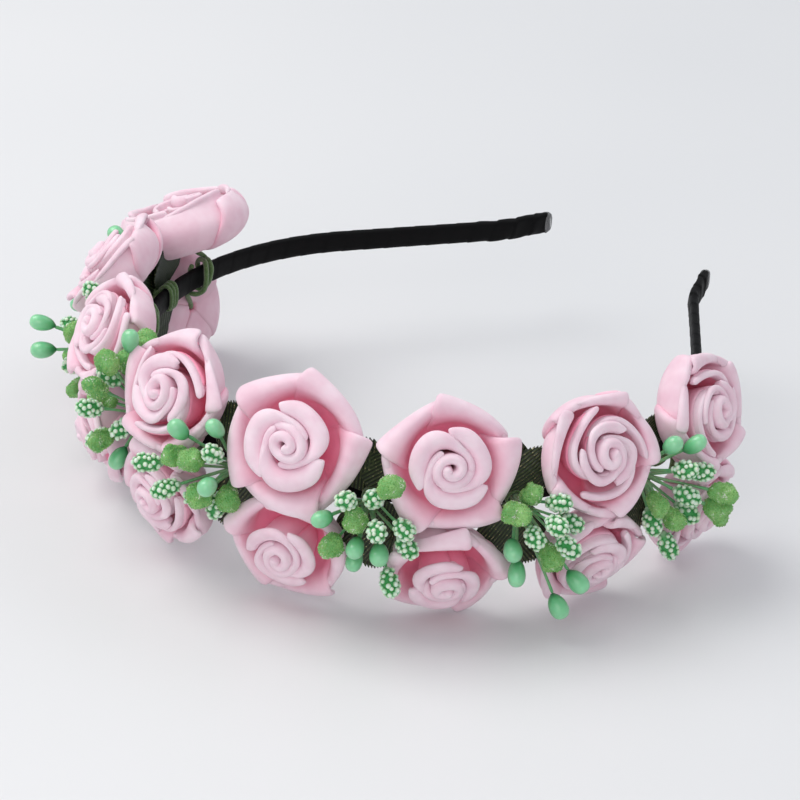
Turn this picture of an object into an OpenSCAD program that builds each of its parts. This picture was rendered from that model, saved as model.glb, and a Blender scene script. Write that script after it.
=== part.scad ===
// Flower crown: a ribbon-wrapped spring band that carries eight pairs of foam roses
// and seven sprigs of leaves and pips in the gaps between the pairs.
// It lies flat, with +Z up. The origin is the centre of the circle that grips the head,
// half way up the band's width. The crown's front is at -Y and the two arms end at +Y.

/* [Band] */
// Inner radius of the wrapped band, where it grips the head
head_r = 62; // [58:0.5:68]
// Angle from the front to the end of the round stretch, on each side
arc_half = 125; // [118:1:130]
// Straight stretch of each arm behind the round one
arm_straight = 40; // [30:1:60]
// Length of each bent-out tip
flare_len = 11; // [8:1:16]
// Radius of the bend where a tip begins
bend_r = 8; // [5:1:15]
// How far the tips are bent out, in degrees
flare_angle = 14; // [5:1:25]
// Width of the spring strip, along Z
strip_w = 4; // [3:0.5:6]
// Thickness of the spring strip
strip_t = 1; // [0.8:0.1:1.4]
// Thickness of the wrapped ribbon
ribbon_t = 0.6; // [0.4:0.1:0.8]
// Angle from the front at which each arm flexes
hinge_angle = 109; // [106:1:114]

/* [Roses] */
// Distance from one pair of roses to the next, along the band
rose_pitch = 28.5; // [28:0.25:30]
// Height of a rose from its base to the tip of its bud
rose_h = 14; // [13:0.5:15]
// Distance of a rose's base in front of the band's middle line
rose_base_out = 2.5; // [2.4:0.1:2.8]
// Thickness of the twisted rose wires
rose_wire_d = 1.6; // [1.2:0.1:2]

/* [Sprigs] */
// Distance from the band's middle line to the point where a sprig's stems spread
tie_out = 4; // [3.5:0.25:5]
// Thickness of the bound stems
tie_d = 3; // [2:0.25:4]
// Thickness of one stem
stem_d = 1; // [0.8:0.1:1.2]
// Thickness of a fabric leaf
leaf_t = 0.6; // [0.4:0.1:0.8]
// Length of a leaf from the bound stems to its point
leaf_len = 18; // [14:0.5:20]
// Width of a leaf
leaf_w = 9; // [7:0.5:10]

/* [Hidden] */
$fn = 48;

fit_gap = 0.02;          // between the strip and its ribbon, and the ribbon and a seal
hinge_gap = 0.8;         // between the centre of the band and each arm
wrap_t = ribbon_t + strip_t / 2;       // from the strip's middle to the ribbon's outside
mid_r = head_r + wrap_t;               // radius of the strip's middle line
ribbon_w = strip_w + 2 * ribbon_t;
gap_angle = (hinge_gap / 2) / mid_r * 180 / PI;

// Garland: the pairs are numbered from the crown's left end to its right end
pairs = 8;
pitch_angle = rose_pitch / mid_r * 180 / PI;
garland_turn = 4;        // the garland sits a little to the right of the band's middle
cell_gap = 0.4;          // degrees left free beside the roses of one pair

// Each rose's rim radius, its base's distance from the band's middle, and how far it is
// tilted away from the middle and turned along the band
upper_rim_r = [13, 13.5, 13, 13.5, 15, 14, 13.5, 13];
lower_rim_r = [12.5, 12, 12, 12.5, 13.5, 13, 12.5, 12];
upper_base_z = [9, 9, 9, 10, 9.5, 9, 8.5, 8.5];
lower_base_z = [9, 9, 9, 9.5, 10, 10.5, 10.5, 10.5];
upper_tilt = [32, 28, 28, 24, 22, 20, 20, 20];
lower_tilt = [15, 15, 15, 12, 12, 15, 16, 16];
upper_turn = [0, 0, 5, 5, 0, 0, 0, 0];
lower_turn = [0, 0, 0, 0, 0, 2, 0, 0];

// Each pip is [kind, bearing, lean, reach]. Seen from in front of the crown, the bearing
// goes round the sprig's axis from straight up, and the lean opens away from that axis.
// The reach runs from the spread of the stems to the middle of the pip.
BUD = "bud";
BERRY = "berry";
CONE = "cone";
pips = [
    [[BUD, 160, 20, 19], [BUD, -150, 38, 14], [BERRY, 28, 32, 12.5], [CONE, -34, 36, 14],
     [CONE, 90, 24, 15], [BERRY, 180, 50, 14], [BUD, 5, 55, 16], [CONE, -100, 26, 13]],
    [[BUD, 5, 20, 19], [BUD, 75, 10, 19.5], [BERRY, 32, 34, 13], [CONE, 165, 20, 14],
     [BERRY, 178, 46, 17], [CONE, 5, 66, 16], [CONE, -55, 26, 12.5], [BERRY, -135, 30, 12.5]],
    [[BERRY, 3, 85, 20], [BUD, 11, 72, 23], [BERRY, -2, 68, 16.5], [BERRY, 10, 54, 20],
     [CONE, -14, 48, 16], [BERRY, 15, 36, 18], [CONE, 0, 14, 15], [CONE, 95, 28, 13],
     [BUD, 170, 50, 12.5], [BERRY, 165, 20, 16], [BERRY, -60, 28, 11.5], [CONE, -150, 36, 13]],
    [[BUD, 4, 54, 17.5], [BUD, -30, 46, 18], [BUD, 52, 20, 17.5], [BERRY, -24, 26, 17.5],
     [BERRY, -60, 37, 15.5], [CONE, 12, 36, 14], [CONE, -142, 26, 11.5], [BERRY, 150, 6, 15],
     [BERRY, 118, 30, 14], [CONE, 175, 40, 13], [CONE, -110, 34, 19.5], [CONE, -84, 45, 19.5]],
    [[BUD, -82, 32, 15.5], [CONE, -30, 28, 14.5], [CONE, 20, 30, 13.5], [BERRY, -70, 8, 14.5],
     [BERRY, -135, 38, 15], [BERRY, 28, 42, 19], [CONE, 84, 35, 16], [CONE, 85, 14, 17.5],
     [CONE, 112, 42, 18.5], [CONE, 152, 49, 19], [BUD, -170, 20, 14], [BUD, -172, 42, 15.5],
     [BUD, 146, 31, 16]],
    [[BERRY, 5, 36, 12], [BERRY, -50, 26, 13.5], [CONE, 52, 35, 15.5], [CONE, 50, 14, 17],
     [CONE, -160, 6, 14], [CONE, 116, 24, 17.5], [CONE, 98, 44, 16], [BERRY, 151, 38, 15.5],
     [BUD, -140, 30, 15], [BUD, -166, 46, 16], [BUD, 143, 51, 23], [BUD, 163, 50, 24]],
    [[BUD, 0, 48, 14], [BUD, 30, 45, 17], [CONE, 10, 24, 14], [CONE, 68, 32, 14.5],
     [BERRY, -120, 24, 12], [CONE, 120, 22, 15.5], [CONE, 140, 48, 17.5], [CONE, -158, 44, 15],
     [BERRY, 168, 37, 16], [CONE, 172, 58, 18], [BERRY, 100, 34, 20], [BERRY, 122, 44, 23]]
];

bud_r = 2.4;
bud_taper = 4.2;
berry_r = 3;
cone_tip_r = 1.4;
cone_r = 2.5;
cone_len = 6;
stem_grip = 1;           // how far a stem is glued into its pip

// Leaves of a sprig: the bearing of each one's middle line and its layer in front of the ribbon
leaves_of_sprig = [[-11, 0], [10, 1], [168, 0], [-168, 1]];
leaf_inset = 2;          // from the sprig's axis to the foot of a leaf
leaf_out = 1.5;          // from the band's middle line to the first layer of leaves
layer_step = 0.8;

// Frame on the band's middle line: X along the band, -Y out of the crown, Z up
module station(angle) {
    rotate([0, 0, angle]) translate([0, -mid_r, 0]) children();
}

// Round stretch of a strip with its middle on the band's middle line
module arc_strip(from, to, t, w) {
    rotate([0, 0, from - 90])
        rotate_extrude(angle = to - from, $fn = 180)
            translate([mid_r, 0]) square([t, w], center = true);
}

function outward(angle) = [sin(angle), -cos(angle)];
function along(angle) = [cos(angle), sin(angle)];

// The right arm's middle line: the round stretch, the straight one, the bend and the tip
arm_start = hinge_angle + gap_angle;
tip_angle = arc_half - flare_angle;
bend_centre = (mid_r + bend_r) * outward(arc_half) + arm_straight * along(arc_half);
tip_start = bend_centre - bend_r * outward(tip_angle);

// One edge of the right arm, at a distance outward from its middle line
function arm_edge(side, start, tip_len) = let (steps = 8) concat(
    [for (i = [0 : steps]) (mid_r + side) * outward(start + (arc_half - start) * i / steps)],
    [for (i = [0 : steps]) bend_centre - (bend_r - side) * outward(arc_half - flare_angle * i / steps)],
    [tip_start + side * outward(tip_angle) + tip_len * along(tip_angle)]
);

function reversed(points) = [for (i = [len(points) - 1 : -1 : 0]) points[i]];

module arm_strip(t, w, start, tip_len) {
    linear_extrude(w, center = true)
        polygon(concat(arm_edge(t / 2, start, tip_len), reversed(arm_edge(-t / 2, start, tip_len))));
}

module on_left() {
    mirror([1, 0, 0]) children();
}

module strip_arm() {
    color("silver") arm_strip(strip_t, strip_w, arm_start, flare_len);
}

module ribbon_arm() {
    color("black") difference() {
        arm_strip(2 * wrap_t, ribbon_w, arm_start, flare_len);
        arm_strip(strip_t + 2 * fit_gap, strip_w + 2 * fit_gap, arm_start - 1, flare_len + 1);
    }
}

// Clear drop of glue that seals the end of the ribbon
module tip_seal() {
    seal_len = 2;
    seal_proud = 0.4;
    flat_w = 2 * wrap_t + seal_proud;
    flat_len = ribbon_w + seal_proud - flat_w;
    color("whitesmoke") translate(tip_start) rotate([0, 0, tip_angle])
        translate([flare_len + fit_gap, 0, 0]) rotate([0, 90, 0]) linear_extrude(seal_len) {
            square([flat_len, flat_w], center = true);
            for (side = [-1, 1])
                translate([side * flat_len / 2, 0]) circle(d = flat_w);
        }
}

module strip_centre() {
    color("silver") arc_strip(-hinge_angle + gap_angle, hinge_angle - gap_angle, strip_t, strip_w);
}

module ribbon_centre() {
    to = hinge_angle - gap_angle;
    color("black") difference() {
        arc_strip(-to, to, 2 * wrap_t, ribbon_w);
        arc_strip(-to - 1, to + 1, strip_t + 2 * fit_gap, strip_w + 2 * fit_gap);
    }
}

function pair_angle(i) = garland_turn + (i - (pairs - 1) / 2) * pitch_angle;
function sprig_angle(k) = garland_turn + (k - (pairs - 2) / 2) * pitch_angle;

// Room that one pair of roses has between its neighbours, above the band's middle
module upper_cell(i) {
    free_r = head_r + 0.3;
    rotate([0, 0, pair_angle(i) - pitch_angle / 2 + cell_gap / 2 - 90])
        rotate_extrude(angle = pitch_angle - cell_gap)
            translate([free_r, 0.2]) square([40, 40]);
}

// One foam rose on the +Z axis: a cup of petals with the bud standing out of it
module rose_head(rim_r) {
    rotate_extrude() polygon([
        [0, 0], [2.6, 0], [0.55 * rim_r, 1.5], [0.9 * rim_r, 4], [rim_r, 6],
        [0.93 * rim_r, 7.8], [0.7 * rim_r, 9.4], [0.46 * rim_r, rose_h - 2.6],
        [0.22 * rim_r, rose_h - 0.4], [0, rose_h]
    ]);
}

// A rose of pair i above the band: its base is in front of the band and its bud points out
module placed_rose(i, rim_r, base_z, tilt, turn) {
    intersection() {
        station(pair_angle(i)) translate([0, -rose_base_out, base_z])
            rotate([0, 0, turn]) rotate([90 - tilt, 0, 0]) rose_head(rim_r);
        upper_cell(i);
    }
}

module rose_upper(i) {
    color("pink") placed_rose(i, upper_rim_r[i], upper_base_z[i], upper_tilt[i], upper_turn[i]);
}

module rose_lower(i) {
    color("pink") mirror([0, 0, 1])
        placed_rose(i, lower_rim_r[i], lower_base_z[i], lower_tilt[i], lower_turn[i]);
}

// The twisted wires of each pair, which run from one rose to the other across the ribbon
module rose_wires() {
    grip = 0.8;
    color("darkgreen") for (i = [0 : pairs - 1])
        station(pair_angle(i))
            translate([0, -wrap_t - fit_gap - rose_wire_d / 2, -lower_base_z[i] - grip])
                cylinder(d = rose_wire_d, h = upper_base_z[i] + lower_base_z[i] + 2 * grip);
}

// Frame at the spread of sprig k's stems, with +Z out along the sprig's axis
module sprig_frame(k) {
    station(sprig_angle(k)) translate([0, -tie_out, 0])
        rotate([90, 0, 0]) children();
}

// Frame on one stem, at a distance from the spread, with +Z along the stem
module on_stem(bearing, lean, distance) {
    rotate([0, 0, -bearing]) rotate([-lean, 0, 0]) translate([0, 0, distance]) children();
}

function pip_foot(kind) = kind == BUD ? bud_taper : kind == BERRY ? berry_r : cone_len / 2 + 0.6;

module stems(k) {
    color("palegreen") {
        sprig_frame(k) for (pip = pips[k])
            on_stem(pip[1], pip[2], 0)
                cylinder(d = stem_d, h = pip[3] - pip_foot(pip[0]) + stem_grip, $fn = 6);
        // the stems are bound together where they leave the band
        station(sprig_angle(k)) translate([0, -wrap_t - fit_gap, 0]) rotate([90, 0, 0])
            cylinder(d = tie_d, h = tie_out - wrap_t + 0.6, $fn = 12);
    }
}

module pips_of_kind(k, kind) {
    sprig_frame(k) for (pip = pips[k])
        if (pip[0] == kind) on_stem(pip[1], pip[2], pip[3]) children();
}

module pearl_buds(k) {
    color("mediumaquamarine") pips_of_kind(k, BUD) rotate_extrude($fn = 32) polygon([
        [0, -bud_taper], [0.7, -bud_taper], [1.9, -1.2], [bud_r, 0.6],
        [2.0, 2.0], [1.1, 2.9], [0, 3.2]
    ]);
}

module sugar_berries(k) {
    color("yellowgreen") pips_of_kind(k, BERRY) sphere(r = berry_r, $fn = 32);
}

module dotted_cones(k) {
    color("mediumseagreen") pips_of_kind(k, CONE) rotate_extrude($fn = 32) polygon([
        [0, -cone_len / 2 - 0.6], [cone_tip_r, -cone_len / 2 - 0.6], [cone_r, 0.8],
        [0.9 * cone_r, 2.6], [0.45 * cone_r, 3.8], [0, 4]
    ]);
}

// Pointed leaf outline along +Y: the overlap of two circles
module leaf_outline() {
    circle_r = (pow(leaf_len / 2, 2) + pow(leaf_w / 2, 2)) / leaf_w;
    intersection_for(side = [-1, 1])
        translate([side * (circle_r - leaf_w / 2), leaf_len / 2]) circle(r = circle_r, $fn = 72);
}

module leaves(k) {
    color("darkolivegreen") station(sprig_angle(k)) rotate([90, 0, 0])
        for (leaf = leaves_of_sprig)
            rotate([0, 0, -leaf[0]]) translate([0, leaf_inset, leaf_out + leaf[1] * layer_step])
                linear_extrude(leaf_t) leaf_outline();
}

strip_centre();
on_left() strip_arm();  // strip_left_arm
strip_arm();  // strip_right_arm
ribbon_centre();
on_left() ribbon_arm();  // ribbon_left_arm
ribbon_arm();  // ribbon_right_arm
on_left() tip_seal();  // tip_seal_left
tip_seal();  // tip_seal_right
rose_wires();
for (i = [0 : pairs - 1]) {
    rose_upper(i);
    rose_lower(i);
}
for (k = [0 : pairs - 2]) {
    leaves(k);
    stems(k);
    pearl_buds(k);
    sugar_berries(k);
    dotted_cones(k);
}
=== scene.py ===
"""Flower crown: foam roses and green sprigs on a ribbon-wrapped spring band.

Lengths in this script are millimetres and angles are degrees, unless a name says
otherwise. Meshes are scaled to metres when they are made.
"""

import math
import random

import bmesh
import bpy
import numpy as np
from mathutils import Matrix, Vector, noise


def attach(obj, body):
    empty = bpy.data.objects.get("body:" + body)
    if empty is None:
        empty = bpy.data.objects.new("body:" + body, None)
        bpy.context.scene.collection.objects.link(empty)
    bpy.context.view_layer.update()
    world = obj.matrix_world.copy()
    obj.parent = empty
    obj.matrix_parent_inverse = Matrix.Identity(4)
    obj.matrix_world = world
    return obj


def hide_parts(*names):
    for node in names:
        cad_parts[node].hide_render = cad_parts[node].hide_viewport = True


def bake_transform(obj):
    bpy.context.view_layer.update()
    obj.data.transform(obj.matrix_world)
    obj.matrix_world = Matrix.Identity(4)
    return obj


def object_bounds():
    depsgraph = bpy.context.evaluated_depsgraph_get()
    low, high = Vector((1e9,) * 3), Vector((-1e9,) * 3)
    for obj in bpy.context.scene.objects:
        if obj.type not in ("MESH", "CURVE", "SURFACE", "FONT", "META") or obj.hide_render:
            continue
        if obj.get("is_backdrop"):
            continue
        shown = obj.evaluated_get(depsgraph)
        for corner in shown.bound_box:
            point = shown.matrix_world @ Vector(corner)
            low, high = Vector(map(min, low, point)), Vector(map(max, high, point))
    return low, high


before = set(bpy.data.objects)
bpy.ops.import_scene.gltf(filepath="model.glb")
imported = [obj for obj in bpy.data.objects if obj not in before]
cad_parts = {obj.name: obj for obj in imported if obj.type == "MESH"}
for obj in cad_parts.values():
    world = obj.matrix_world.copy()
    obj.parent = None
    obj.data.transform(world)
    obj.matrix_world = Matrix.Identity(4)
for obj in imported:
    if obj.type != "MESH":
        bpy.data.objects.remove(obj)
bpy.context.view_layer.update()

MM = 0.001
ROOT, LEFT, RIGHT = "garland", "left_arm", "right_arm"

# Band, as in the CAD
HEAD_R = 62.0
WRAP_T = 1.1
MID_R = HEAD_R + WRAP_T
BAND_W = 5.2
ARC_HALF = 125.0
ARM_STRAIGHT = 40.0
BEND_R = 8.0
FLARE_ANGLE = 14.0
FLARE_LEN = 11.0

# Garland: the stations are the CAD's. The roses start from the CAD's values, but tilt, rim_r and
# base_z were changed here for looks and differ from the CAD in places, most of all for upper rose 1.
# Lists run over the pairs; "open" is 0 for a closed rose and 1 for a flared one.
PAIRS = 8
PITCH_ANGLE = math.degrees(28.5 / MID_R)
GARLAND_TURN = 4.0
ROSE_OUT = 2.5
ROSE_H = 14.0
TIE_OUT = 4.0
UPPER = {
    "side": 1,
    "rim_r": [14.5, 13.5, 13, 13.5, 15, 14, 13.5, 13],
    "base_z": [6.5, 9, 9, 10, 9.5, 9, 8.5, 8.5],
    "tilt": [66, 36, 30, 26, 22, 20, 20, 20],
    "turn": [0, 0, 5, 5, 0, 0, 0, 0],
    "spin": [20, 60, 35, 10, 84, 98, 62, 30],
    "curl": [1, 1, 1, -1, 1, 1, -1, 1],
    "open": [0.0, 0.6, 0.6, 0.75, 1, 1, 0.6, 0.5],
}
LOWER = {
    "side": -1,
    "rim_r": [13.5, 12, 12, 12.5, 13.5, 13, 12.5, 12],
    "base_z": [9, 9, 9, 9.5, 10, 10.5, 10.5, 10.5],
    "tilt": [15, 15, 15, 12, 14, 25, 20, 18],
    "turn": [0, 0, 0, 0, 0, 2, 0, 0],
    "spin": [0, 40, 15, 50, 25, 70, 10, 45],
    "curl": [-1, 1, -1, 1, 1, -1, 1, -1],
    "open": [0.1, 0.5, 0.7, 0.75, 0.85, 0.85, 0.75, 0.5],
}
FOAM_ROLL_T = 2.35
SECOND_RING_BELOW = 0.78
ROSE_WIRE_R = 0.65
SPRIG_WIRE_R = 0.5


# ---------------------------------------------------------------- shapes


def along(angle):
    """The way along the band at an angle from its front."""
    return np.array([math.cos(math.radians(angle)), math.sin(math.radians(angle)), 0])


def outward(angle):
    """The way out from the head at an angle from the band's front."""
    return np.array([math.sin(math.radians(angle)), -math.cos(math.radians(angle)), 0])


def station(angle):
    """The place on the band's middle line at that angle, and the axes X along, Y out, Z up."""
    axes = np.array([along(angle), outward(angle), [0, 0, 1]]).T
    return MID_R * outward(angle), axes


def smooth_step(x):
    x = np.clip(x, 0, 1)
    return x * x * (3 - 2 * x)


def curve_through(knots, values, x):
    """A smooth curve through (knots, values), at x; values may have several columns."""
    knots = np.asarray(knots, float)
    values = np.asarray(values, float)
    slopes = np.gradient(values, knots, axis=0)
    i = np.clip(np.searchsorted(knots, x, side="right") - 1, 0, len(knots) - 2)
    step = knots[i + 1] - knots[i]
    t = (x - knots[i]) / step
    if values.ndim > 1:
        t, step = t[:, None], step[:, None]
    return (
        (2 * t**3 - 3 * t**2 + 1) * values[i]
        + (t**3 - 2 * t**2 + t) * step * slopes[i]
        + (3 * t**2 - 2 * t**3) * values[i + 1]
        + (t**3 - t**2) * step * slopes[i + 1]
    )


class Shape:
    """Points, faces and per-point marks that end up in one mesh."""

    def __init__(self):
        self.points, self.faces, self.marks, self.count = [], [], {}, 0

    def add(self, points, faces, **marks):
        points = np.asarray(points, float).reshape(-1, 3)
        self.points.append(points)
        self.faces += [[i + self.count for i in face] for face in faces]
        for name, values in marks.items():
            values = np.broadcast_to(np.asarray(values, float).ravel(), (len(points),))
            self.marks.setdefault(name, []).append(values)
        self.count += len(points)

    def make(self, name, material, body=ROOT, subdivide=0, smooth=True):
        """One object from all that was added; it rides a body, unless body is None."""
        mesh = bpy.data.meshes.new(name)
        points = np.concatenate(self.points) * MM
        mesh.from_pydata(points.tolist(), [], self.faces)
        for mark, values in self.marks.items():
            layer = mesh.attributes.new(mark, "FLOAT", "POINT")
            layer.data.foreach_set("value", np.concatenate(values).astype(np.float32))
        work = bmesh.new()
        work.from_mesh(mesh)
        bmesh.ops.recalc_face_normals(work, faces=work.faces)
        work.to_mesh(mesh)
        work.free()
        if smooth:
            mesh.shade_smooth()
        else:
            mesh.shade_flat()
        piece = bpy.data.objects.new(name, mesh)
        bpy.context.scene.collection.objects.link(piece)
        piece.data.materials.append(material)
        if subdivide:
            rounding = piece.modifiers.new("rounding", "SUBSURF")
            rounding.levels = rounding.render_levels = subdivide
        if body:
            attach(piece, body)
        return piece


def grid_faces(rows, cols, closed=False):
    """Four-sided faces between the points of a grid, row by row."""
    last = cols if closed else cols - 1
    return [
        [r * cols + c, r * cols + (c + 1) % cols, (r + 1) * cols + (c + 1) % cols, (r + 1) * cols + c]
        for r in range(rows - 1)
        for c in range(last)
    ]


def grid_normals(grid):
    """Unit normals at the points of a grid."""
    normals = np.cross(np.gradient(grid, axis=1), np.gradient(grid, axis=0))
    return normals / np.maximum(np.linalg.norm(normals, axis=2, keepdims=True), 1e-9)


RIM_BULGE = 0.42


def thick_sheet(shape, grid, thickness, **marks):
    """Adds a closed sheet with a rounded rim, its middle on a grid; a mark may be a (back, front) pair."""
    rows, cols = grid.shape[:2]
    thickness = np.broadcast_to(thickness, (rows, cols))
    normals = grid_normals(grid)
    loop = [(0, c) for c in range(cols)]
    loop += [(r, cols - 1) for r in range(1, rows)]
    loop += [(rows - 1, c) for c in range(cols - 2, -1, -1)]
    loop += [(r, 0) for r in range(rows - 2, 0, -1)]
    rim = []
    for r, c in loop:
        inside = grid[min(max(r, 1), rows - 2), min(max(c, 1), cols - 2)]
        away = grid[r, c] - inside
        rim.append(grid[r, c] + away / np.linalg.norm(away) * thickness[r, c] * RIM_BULGE)
    half = thickness[:, :, None] / 2
    top = (grid + normals * half).reshape(-1, 3)
    bottom = (grid - normals * half).reshape(-1, 3)
    size = rows * cols
    faces = grid_faces(rows, cols)
    faces += [[i + size for i in face[::-1]] for face in grid_faces(rows, cols)]
    count = len(loop)
    for i in range(count):
        a = loop[i][0] * cols + loop[i][1]
        b = loop[(i + 1) % count][0] * cols + loop[(i + 1) % count][1]
        ra, rb = 2 * size + i, 2 * size + (i + 1) % count
        faces += [[a, ra, rb, b], [ra, a + size, b + size, rb]]
    spread = {}
    for name, values in marks.items():
        back, front = values if isinstance(values, tuple) else (values, values)
        back, front = np.broadcast_to(back, (rows, cols)), np.broadcast_to(front, (rows, cols))
        at_rim = np.array([(back[r, c] + front[r, c]) / 2 for r, c in loop])
        spread[name] = np.concatenate([back.ravel(), front.ravel(), at_rim])
    shape.add(np.concatenate([top, bottom, rim]), faces, **spread)


def sweep(shape, path, section, sides_up=None, capped=True, **marks):
    """Adds a tube: a closed section, of (across, up) pairs, carried along a path."""
    path = np.asarray(path, float)
    tangent = np.gradient(path, axis=0)
    tangent /= np.linalg.norm(tangent, axis=1, keepdims=True)
    if sides_up is None:
        start = np.array([0, 0, 1.0]) if abs(tangent[0][2]) < 0.8 else np.array([1.0, 0, 0])
        ups = []
        for t in tangent:
            start = start - t * np.dot(start, t)
            start = start / np.linalg.norm(start)
            ups.append(start)
        ups = np.array(ups)
    else:
        ups = np.broadcast_to(sides_up, path.shape)
    across = np.cross(ups, tangent)
    section = np.asarray(section, float)
    if section.ndim == 2:
        section = np.broadcast_to(section, (len(path),) + section.shape)
    points = (
        path[:, None, :]
        + section[:, :, 0:1] * across[:, None, :]
        + section[:, :, 1:2] * ups[:, None, :]
    )
    rows, cols = points.shape[:2]
    faces = grid_faces(rows, cols, closed=True)
    if capped:
        faces += [list(range(cols))[::-1], [(rows - 1) * cols + c for c in range(cols)]]
    spread = {n: np.broadcast_to(np.asarray(v, float), (rows, cols)) for n, v in marks.items()}
    shape.add(points.reshape(-1, 3), faces, **spread)


def ring(radius, sides):
    """A round section for sweep."""
    turn = np.linspace(0, 2 * math.pi, sides, endpoint=False)
    return np.stack([radius * np.cos(turn), radius * np.sin(turn)], axis=1)


def bezier(a, b, c, d, steps):
    """Points of a cubic curve from a to d."""
    t = np.linspace(0, 1, steps)[:, None]
    a, b, c, d = (np.asarray(p, float) for p in (a, b, c, d))
    return (1 - t) ** 3 * a + 3 * (1 - t) ** 2 * t * b + 3 * (1 - t) * t**2 * c + t**3 * d


def lathe(profile, sides):
    """Points and faces of a closed turned shape about +Z; profile is (radius, height) pairs."""
    turn = np.linspace(0, 2 * math.pi, sides, endpoint=False)
    rings = []
    for radius, height in profile:
        heights = np.full(sides, height)
        rings.append(np.stack([radius * np.cos(turn), radius * np.sin(turn), heights], axis=1))
    points = np.concatenate(rings)
    faces = grid_faces(len(profile), sides, closed=True)
    faces += [list(range(sides))[::-1], [(len(profile) - 1) * sides + c for c in range(sides)]]
    return points, faces


def axes_on(direction, roll):
    """Axes with Z on direction, turned by roll about it."""
    z = np.asarray(direction, float) / np.linalg.norm(direction)
    side = np.cross([0, 0, 1.0], z) if abs(z[2]) < 0.9 else np.cross([1.0, 0, 0], z)
    side /= np.linalg.norm(side)
    up = np.cross(z, side)
    c, s = math.cos(roll), math.sin(roll)
    return np.array([c * side + s * up, c * up - s * side, z]).T


# ---------------------------------------------------------------- materials


class Paint:
    """A node material under construction."""

    def __init__(self, name, roughness, **sockets):
        self.material = bpy.data.materials.new(name)
        self.material.use_nodes = True
        self.tree = self.material.node_tree
        self.shader = self.tree.nodes["Principled BSDF"]
        self.shader.inputs["Roughness"].default_value = roughness
        for socket, value in sockets.items():
            self.shader.inputs[socket.replace("_", " ")].default_value = value

    def node(self, kind, **values):
        made = self.tree.nodes.new(kind)
        for key, value in values.items():
            if key in made.inputs:
                made.inputs[key].default_value = value
            else:
                setattr(made, key, value)
        return made

    def link(self, source, target):
        self.tree.links.new(source, target)

    def place(self):
        return self.node("ShaderNodeTexCoord").outputs["Object"]

    def mark(self, name):
        made = self.node("ShaderNodeAttribute", attribute_name=name)
        return made.outputs["Fac"]

    def grain(self, scale, detail=3.0, rough=0.5):
        """Noise at that many features to a metre."""
        made = self.node("ShaderNodeTexNoise", Scale=scale, Detail=detail, Roughness=rough)
        self.link(self.place(), made.inputs["Vector"])
        return made.outputs["Fac"]

    def ramp(self, source, *stops):
        made = self.node("ShaderNodeValToRGB")
        ramp = made.color_ramp
        while len(ramp.elements) < len(stops):
            ramp.elements.new(0.5)
        for element, (at, colour) in zip(ramp.elements, stops):
            element.position = at
            element.color = srgb(colour)
        self.link(source, made.inputs["Fac"])
        return made.outputs["Color"]

    def math(self, operation, a, b=0.0):
        made = self.node("ShaderNodeMath", operation=operation)
        for socket, value in zip(made.inputs, (a, b)):
            if isinstance(value, (int, float)):
                socket.default_value = value
            else:
                self.link(value, socket)
        return made.outputs[0]

    def mix(self, share, a, b, blend="MIX"):
        made = self.node("ShaderNodeMix", data_type="RGBA", blend_type=blend)
        sockets = (made.inputs[0], made.inputs[6], made.inputs[7])
        for socket, value in zip(sockets, (share, a, b)):
            if isinstance(value, (int, float)):
                socket.default_value = value
            elif isinstance(value, tuple):
                socket.default_value = srgb(value)
            else:
                self.link(value, socket)
        return made.outputs[2]

    def colour(self, source):
        self.link(source, self.shader.inputs["Base Color"])

    def roughness(self, source, low, high):
        made = self.node("ShaderNodeMapRange")
        made.inputs["To Min"].default_value = low
        made.inputs["To Max"].default_value = high
        self.link(source, made.inputs["Value"])
        self.link(made.outputs[0], self.shader.inputs["Roughness"])

    def bump(self, source, depth, strength=1.0):
        made = self.node("ShaderNodeBump", Strength=strength, Distance=depth * MM)
        self.link(source, made.inputs["Height"])
        self.link(made.outputs[0], self.shader.inputs["Normal"])


def srgb(colour):
    """An 8-bit display colour as a linear one."""
    parts = [c / 255 for c in colour]
    return tuple(c / 12.92 if c <= 0.04045 else ((c + 0.055) / 1.055) ** 2.4 for c in parts) + (1.0,)


def make_foam():
    paint = Paint("rose_foam", 0.85, Subsurface_Weight=0.15, Subsurface_Scale=MM)
    paint.shader.inputs["Subsurface Radius"].default_value = (1.5, 1.0, 1.2)
    paint.shader.inputs["Sheen Weight"].default_value = 0.1
    # Painted light and shade: the ramp over rise is deeper pink low in the petals and the bud, as painted
    # shade in the hollows and creases, and pale whitish pink toward the upper parts and rims, as painted
    # sheen.
    rise = paint.mark("rise")
    body = paint.ramp(
        rise,
        (0.0, (253, 132, 166)), (0.48, (252, 166, 191)),
        (0.74, (247, 200, 216)), (1.0, (244, 221, 231)),
    )
    blotch = paint.ramp(paint.grain(220.0, 2.0), (0.35, (248, 238, 242)), (0.65, (255, 255, 255)))
    paint.colour(paint.mix(1.0, body, blotch, "MULTIPLY"))
    paint.bump(paint.grain(5200.0, 2.0), 0.06, 0.5)
    return paint.material


def make_satin():
    paint = Paint("satin_ribbon", 0.5, Specular_IOR_Level=0.12)
    thread_pitch = 0.28
    threads = paint.math("SINE", paint.math("MULTIPLY", paint.mark("run"), 2 * math.pi / thread_pitch))
    weave = paint.math("ADD", paint.math("MULTIPLY", threads, 0.5), 0.5)
    cloud = paint.grain(900.0)
    tone = paint.ramp(cloud, (0.3, (2, 2, 3)), (0.7, (7, 7, 8)))
    lit = paint.ramp(weave, (0.0, (2, 2, 3)), (1.0, (12, 12, 14)))
    paint.colour(paint.mix(0.4, tone, lit))
    paint.roughness(cloud, 0.45, 0.65)
    paint.bump(weave, 0.04, 0.6)
    return paint.material


def make_steel():
    paint = Paint("spring_steel", 0.35, Metallic=1.0)
    streak = paint.grain(1500.0, 4.0)
    paint.colour(paint.ramp(streak, (0.3, (120, 122, 126)), (0.7, (160, 162, 166))))
    paint.roughness(streak, 0.28, 0.45)
    return paint.material


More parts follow.
